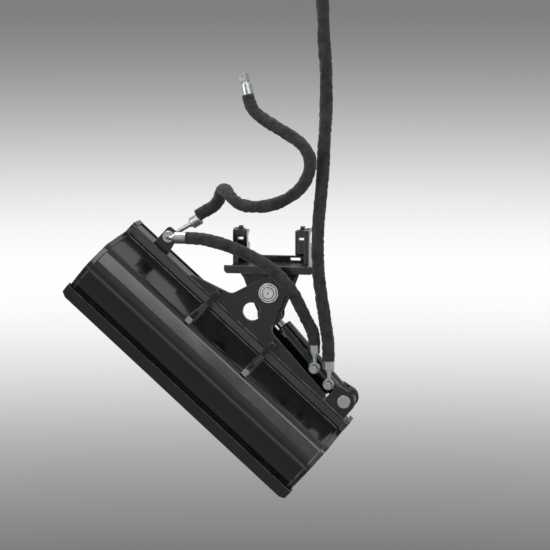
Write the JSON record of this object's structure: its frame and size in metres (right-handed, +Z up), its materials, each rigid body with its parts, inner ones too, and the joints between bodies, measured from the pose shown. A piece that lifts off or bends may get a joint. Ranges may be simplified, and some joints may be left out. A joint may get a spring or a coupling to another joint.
{
  "type": "tilt bucket",
  "caption": "Hydraulic tilting grading bucket for a micro excavator, with a hook-on coupler head, a tilt cylinder, and sleeved hoses.",
  "frame": {"origin": "on the axis of the coupler seat, midway between the two claws of the head", "axes": "+X along the bucket towards its cylinder end and along the seat's axis, +Y from the back of the bucket towards the machine, +Z up; the bucket is stored tilted 42 degrees about Y"},
  "size_m": [0.7661, 0.2909, 1.382],
  "materials": {
    "black_gloss": "gloss black paint over rolled and welded plate",
    "black_satin": "satin black paint on flame-cut plate",
    "grey_satin": "satin dark grey paint",
    "cylinder_paint": "gloss black paint on a drawn tube",
    "zinc": "bright zinc plate",
    "chrome_rod": "hard chrome, polished",
    "bronze": "turned bearing bronze",
    "seal": "moulded polyurethane",
    "piston_iron": "turned iron",
    "sleeve": "woven nylon protective sleeve"
  },
  "bodies": {
    "head": {"front_crossbar": "grey_satin", "rear_crossbar": "grey_satin", "base_plate": "grey_satin", "upright_left": "grey_satin", "upright_right": "grey_satin", "hook_plate_left": "black_satin", "hook_plate_right": "black_satin", "claw_seat_left": "black_satin", "claw_seat_right": "black_satin", "claw_caps": "black_satin", "cap_bolts": "grey_satin", "lug_front": "black_satin", "lug_rear": "black_satin", "gussets": "black_satin", "pivot_tube": "black_satin", "pivot_bushes": "bronze", "loop_hose": "sleeve", "loop_hose_end": "zinc", "long_hose": "sleeve", "long_hose_end": "zinc"},
    "bucket": {"bucket_shell": "black_gloss", "side_plate_left": "black_gloss", "side_plate_right": "black_gloss", "cutting_edge": "black_gloss", "top_beam": "black_gloss", "mouth_lip": "black_gloss", "rib_left": "black_gloss", "rib_right": "black_gloss", "front_pivot_plate": "black_satin", "rear_pivot_plate": "black_satin", "pivot_pin": "zinc", "pivot_nut": "zinc", "bracket_ear_front": "black_satin", "bracket_ear_rear": "black_satin", "cylinder_base_pin": "zinc", "pin_lock_bolt": "grey_satin", "hose_plate": "black_satin", "bulkhead_union": "zinc", "cross_hose_elbow": "zinc", "loop_hose_elbow": "zinc", "cross_hose": "sleeve"},
    "cylinder_barrel": {"barrel_tube": "cylinder_paint", "base_eye": "black_satin", "base_eye_bush": "bronze", "gland": "cylinder_paint", "wiper_seal": "seal", "port_blocks": "cylinder_paint", "transfer_pipe": "cylinder_paint", "long_hose_banjo": "zinc", "cross_hose_banjo": "zinc", "banjo_bolts": "zinc", "sealing_washers": "zinc"},
    "rod": {"piston_rod": "chrome_rod", "rod_eye": "black_satin", "rod_eye_bush": "bronze", "piston": "piston_iron", "piston_seal": "seal", "rod_pin": "zinc", "pin_washers": "zinc"}
  },
  "joints": [
    {"name": "bucket_tilt", "type": "hinge", "parent": "head", "child": "bucket", "pos_m": [0, -0.035, -0.141], "axis": [0, 1, 0], "range_deg": [-87, 3], "deforming": ["loop_hose", "long_hose"]},
    {"name": "barrel_swing", "type": "hinge", "parent": "bucket", "child": "cylinder_barrel", "pos_m": [0.20345, -0.035, -0.42915], "axis": [0, 1, 0], "range_deg": [-6, 6], "deforming": ["cross_hose"]},
    {"name": "rod_slide", "type": "slide", "parent": "cylinder_barrel", "child": "rod", "axis": [-0.6656, 0, 0.7463], "range_m": [-0.005, 0.09]}
  ],
  "couplings": [
    {"joint": "barrel_swing", "follows": "bucket_tilt", "ratio": 0.032},
    {"joint": "rod_slide", "follows": "bucket_tilt", "m_per_rad": -0.05386}
  ]
}
